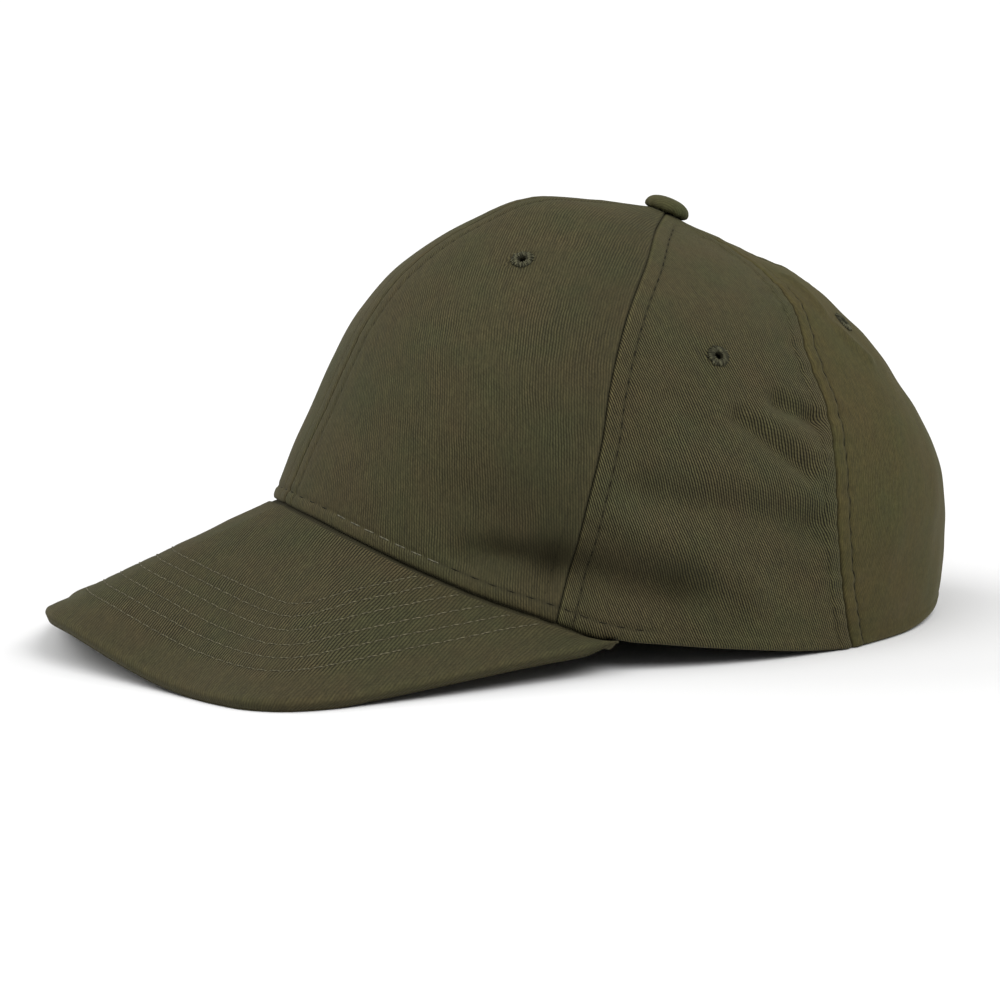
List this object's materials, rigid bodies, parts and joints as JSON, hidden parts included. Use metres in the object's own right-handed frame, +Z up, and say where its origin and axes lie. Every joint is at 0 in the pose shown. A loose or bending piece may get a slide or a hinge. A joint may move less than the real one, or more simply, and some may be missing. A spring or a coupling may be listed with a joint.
{
  "type": "peaked cap",
  "caption": "Panelled cloth peaked cap with a structured front, a pre-curved stitched peak, a covered top button and embroidered vent eyelets.",
  "frame": {"origin": "on the table under the middle of the cap's outer box, with the cap resting as it would by itself", "axes": "+Z up; the cap faces -Y, so +Y runs from the peak to the back; +X is the wearer's left"},
  "size_m": [0.182, 0.2824, 0.1282],
  "materials": {
    "crown_cloth": "matt cotton twill, dark olive",
    "peak_cloth": "matt cotton twill, dark olive, with rows of stitching",
    "eyelet_thread": "satin embroidery thread",
    "band_cloth": "matt cotton twill"
  },
  "bodies": {
    "root": {"front_panel_left": "crown_cloth", "front_panel_right": "crown_cloth", "side_panel_left": "crown_cloth", "side_panel_right": "crown_cloth", "back_panel_left": "crown_cloth", "back_panel_right": "crown_cloth", "eyelet_front_left": "eyelet_thread", "eyelet_front_right": "eyelet_thread", "eyelet_side_left": "eyelet_thread", "eyelet_side_right": "eyelet_thread", "eyelet_back_left": "eyelet_thread", "eyelet_back_right": "eyelet_thread", "top_button": "crown_cloth", "peak_top_cover": "peak_cloth", "peak_under_cover": "peak_cloth", "sweatband": "band_cloth"}
  },
  "joints": []
}
